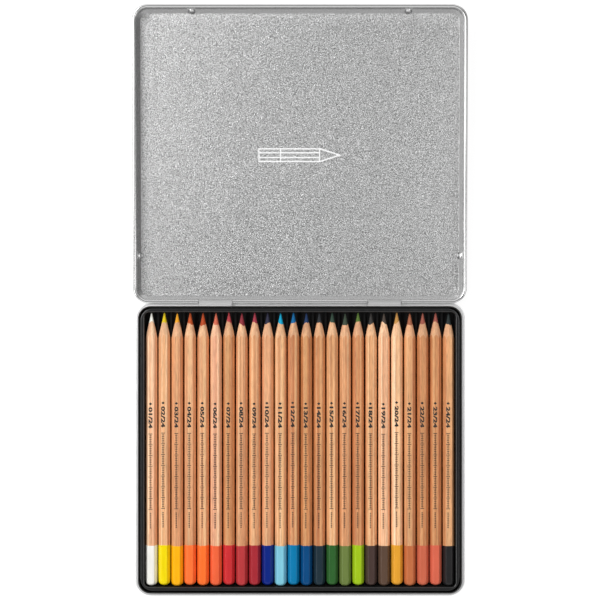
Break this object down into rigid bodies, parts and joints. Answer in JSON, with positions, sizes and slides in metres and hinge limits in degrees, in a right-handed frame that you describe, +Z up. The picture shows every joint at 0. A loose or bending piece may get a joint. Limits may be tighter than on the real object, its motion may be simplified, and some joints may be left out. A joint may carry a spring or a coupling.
{
  "type": "colored pencil tin",
  "caption": "Flat hinged metal tin, open, with a tray that holds a row of loose hexagonal colored pencils with dipped ends.",
  "frame": {"origin": "middle of the base's underside, on the table", "axes": "+Z up, +Y from the front edge of the base to the hinge and the open lid, +X to the right seen from the front"},
  "size_m": [0.2142, 0.3787, 0.0157],
  "materials": {
    "tinplate_base": "satin tinplate, black lacquer inside",
    "tinplate_lid": "finely grained matt silver",
    "hinge_wire": "drawn wire",
    "tray_plastic": "satin black",
    "barrel_wood": "clear lacquer over natural wood, raw on the cone",
    "color_01_white": "waxy core, glossy dipped coat",
    "color_02_yellow": "waxy core, glossy dipped coat",
    "color_03_golden_yellow": "waxy core, glossy dipped coat",
    "color_04_light_orange": "waxy core, glossy dipped coat",
    "color_05_orange": "waxy core, glossy dipped coat",
    "color_06_vermilion": "waxy core, glossy dipped coat",
    "color_07_red": "waxy core, glossy dipped coat",
    "color_08_carmine": "waxy core, glossy dipped coat",
    "color_09_dark_red": "waxy core, glossy dipped coat",
    "color_10_dark_blue": "waxy core, glossy dipped coat",
    "color_11_sky_blue": "waxy core, glossy dipped coat",
    "color_12_cyan_blue": "waxy core, glossy dipped coat",
    "color_13_prussian_blue": "waxy core, glossy dipped coat",
    "color_14_indigo": "waxy core, glossy dipped coat",
    "color_15_dark_green": "waxy core, glossy dipped coat",
    "color_16_olive_green": "waxy core, glossy dipped coat",
    "color_17_apple_green": "waxy core, glossy dipped coat",
    "color_18_sepia": "waxy core, glossy dipped coat",
    "color_19_umber": "waxy core, glossy dipped coat",
    "color_20_ochre": "waxy core, glossy dipped coat",
    "color_21_light_brown": "waxy core, glossy dipped coat",
    "color_22_terracotta": "waxy core, glossy dipped coat",
    "color_23_salmon": "waxy core, glossy dipped coat",
    "color_24_black": "waxy core, glossy dipped coat"
  },
  "bodies": {
    "base": {"base_shell": "tinplate_base"},
    "lid": {"lid_shell": "tinplate_lid", "hinge_pin_left": "hinge_wire", "hinge_pin_right": "hinge_wire"},
    "tray": {"pencil_tray": "tray_plastic"},
    "pencil_01_white": {"barrel_01_white": "barrel_wood", "core_01_white": "color_01_white"},
    "pencil_02_yellow": {"barrel_02_yellow": "barrel_wood", "core_02_yellow": "color_02_yellow"},
    "pencil_03_golden_yellow": {"barrel_03_golden_yellow": "barrel_wood", "core_03_golden_yellow": "color_03_golden_yellow"},
    "pencil_04_light_orange": {"barrel_04_light_orange": "barrel_wood", "core_04_light_orange": "color_04_light_orange"},
    "pencil_05_orange": {"barrel_05_orange": "barrel_wood", "core_05_orange": "color_05_orange"},
    "pencil_06_vermilion": {"barrel_06_vermilion": "barrel_wood", "core_06_vermilion": "color_06_vermilion"},
    "pencil_07_red": {"barrel_07_red": "barrel_wood", "core_07_red": "color_07_red"},
    "pencil_08_carmine": {"barrel_08_carmine": "barrel_wood", "core_08_carmine": "color_08_carmine"},
    "pencil_09_dark_red": {"barrel_09_dark_red": "barrel_wood", "core_09_dark_red": "color_09_dark_red"},
    "pencil_10_dark_blue": {"barrel_10_dark_blue": "barrel_wood", "core_10_dark_blue": "color_10_dark_blue"},
    "pencil_11_sky_blue": {"barrel_11_sky_blue": "barrel_wood", "core_11_sky_blue": "color_11_sky_blue"},
    "pencil_12_cyan_blue": {"barrel_12_cyan_blue": "barrel_wood", "core_12_cyan_blue": "color_12_cyan_blue"},
    "pencil_13_prussian_blue": {"barrel_13_prussian_blue": "barrel_wood", "core_13_prussian_blue": "color_13_prussian_blue"},
    "pencil_14_indigo": {"barrel_14_indigo": "barrel_wood", "core_14_indigo": "color_14_indigo"},
    "pencil_15_dark_green": {"barrel_15_dark_green": "barrel_wood", "core_15_dark_green": "color_15_dark_green"},
    "pencil_16_olive_green": {"barrel_16_olive_green": "barrel_wood", "core_16_olive_green": "color_16_olive_green"},
    "pencil_17_apple_green": {"barrel_17_apple_green": "barrel_wood", "core_17_apple_green": "color_17_apple_green"},
    "pencil_18_sepia": {"barrel_18_sepia": "barrel_wood", "core_18_sepia": "color_18_sepia"},
    "pencil_19_umber": {"barrel_19_umber": "barrel_wood", "core_19_umber": "color_19_umber"},
    "pencil_20_ochre": {"barrel_20_ochre": "barrel_wood", "core_20_ochre": "color_20_ochre"},
    "pencil_21_light_brown": {"barrel_21_light_brown": "barrel_wood", "core_21_light_brown": "color_21_light_brown"},
    "pencil_22_terracotta": {"barrel_22_terracotta": "barrel_wood", "core_22_terracotta": "color_22_terracotta"},
    "pencil_23_salmon": {"barrel_23_salmon": "barrel_wood", "core_23_salmon": "color_23_salmon"},
    "pencil_24_black": {"barrel_24_black": "barrel_wood", "core_24_black": "color_24_black"}
  },
  "joints": [
    {"name": "lid_hinge", "type": "hinge", "parent": "base", "child": "lid", "pos_m": [0, 0.09475, 0.00795], "axis": [-1, 0, 0], "range_deg": [-178, 0]},
    {"name": "tray_lift", "type": "slide", "parent": "base", "child": "tray", "axis": [0, 0, 1], "range_m": [0, 0.02]},
    {"name": "pencil_01_white_lift", "type": "slide", "parent": "tray", "child": "pencil_01_white", "axis": [0, 0, 1], "range_m": [0, 0.016]},
    {"name": "pencil_02_yellow_lift", "type": "slide", "parent": "tray", "child": "pencil_02_yellow", "axis": [0, 0, 1], "range_m": [0, 0.016]},
    {"name": "pencil_03_golden_yellow_lift", "type": "slide", "parent": "tray", "child": "pencil_03_golden_yellow", "axis": [0, 0, 1], "range_m": [0, 0.016]},
    {"name": "pencil_04_light_orange_lift", "type": "slide", "parent": "tray", "child": "pencil_04_light_orange", "axis": [0, 0, 1], "range_m": [0, 0.016]},
    {"name": "pencil_05_orange_lift", "type": "slide", "parent": "tray", "child": "pencil_05_orange", "axis": [0, 0, 1], "range_m": [0, 0.016]},
    {"name": "pencil_06_vermilion_lift", "type": "slide", "parent": "tray", "child": "pencil_06_vermilion", "axis": [0, 0, 1], "range_m": [0, 0.016]},
    {"name": "pencil_07_red_lift", "type": "slide", "parent": "tray", "child": "pencil_07_red", "axis": [0, 0, 1], "range_m": [0, 0.016]},
    {"name": "pencil_08_carmine_lift", "type": "slide", "parent": "tray", "child": "pencil_08_carmine", "axis": [0, 0, 1], "range_m": [0, 0.016]},
    {"name": "pencil_09_dark_red_lift", "type": "slide", "parent": "tray", "child": "pencil_09_dark_red", "axis": [0, 0, 1], "range_m": [0, 0.016]},
    {"name": "pencil_10_dark_blue_lift", "type": "slide", "parent": "tray", "child": "pencil_10_dark_blue", "axis": [0, 0, 1], "range_m": [0, 0.016]},
    {"name": "pencil_11_sky_blue_lift", "type": "slide", "parent": "tray", "child": "pencil_11_sky_blue", "axis": [0, 0, 1], "range_m": [0, 0.016]},
    {"name": "pencil_12_cyan_blue_lift", "type": "slide", "parent": "tray", "child": "pencil_12_cyan_blue", "axis": [0, 0, 1], "range_m": [0, 0.016]},
    {"name": "pencil_13_prussian_blue_lift", "type": "slide", "parent": "tray", "child": "pencil_13_prussian_blue", "axis": [0, 0, 1], "range_m": [0, 0.016]},
    {"name": "pencil_14_indigo_lift", "type": "slide", "parent": "tray", "child": "pencil_14_indigo", "axis": [0, 0, 1], "range_m": [0, 0.016]},
    {"name": "pencil_15_dark_green_lift", "type": "slide", "parent": "tray", "child": "pencil_15_dark_green", "axis": [0, 0, 1], "range_m": [0, 0.016]},
    {"name": "pencil_16_olive_green_lift", "type": "slide", "parent": "tray", "child": "pencil_16_olive_green", "axis": [0, 0, 1], "range_m": [0, 0.016]},
    {"name": "pencil_17_apple_green_lift", "type": "slide", "parent": "tray", "child": "pencil_17_apple_green", "axis": [0, 0, 1], "range_m": [0, 0.016]},
    {"name": "pencil_18_sepia_lift", "type": "slide", "parent": "tray", "child": "pencil_18_sepia", "axis": [0, 0, 1], "range_m": [0, 0.016]},
    {"name": "pencil_19_umber_lift", "type": "slide", "parent": "tray", "child": "pencil_19_umber", "axis": [0, 0, 1], "range_m": [0, 0.016]},
    {"name": "pencil_20_ochre_lift", "type": "slide", "parent": "tray", "child": "pencil_20_ochre", "axis": [0, 0, 1], "range_m": [0, 0.016]},
    {"name": "pencil_21_light_brown_lift", "type": "slide", "parent": "tray", "child": "pencil_21_light_brown", "axis": [0, 0, 1], "range_m": [0, 0.016]},
    {"name": "pencil_22_terracotta_lift", "type": "slide", "parent": "tray", "child": "pencil_22_terracotta", "axis": [0, 0, 1], "range_m": [0, 0.016]},
    {"name": "pencil_23_salmon_lift", "type": "slide", "parent": "tray", "child": "pencil_23_salmon", "axis": [0, 0, 1], "range_m": [0, 0.016]},
    {"name": "pencil_24_black_lift", "type": "slide", "parent": "tray", "child": "pencil_24_black", "axis": [0, 0, 1], "range_m": [0, 0.016]}
  ]
}
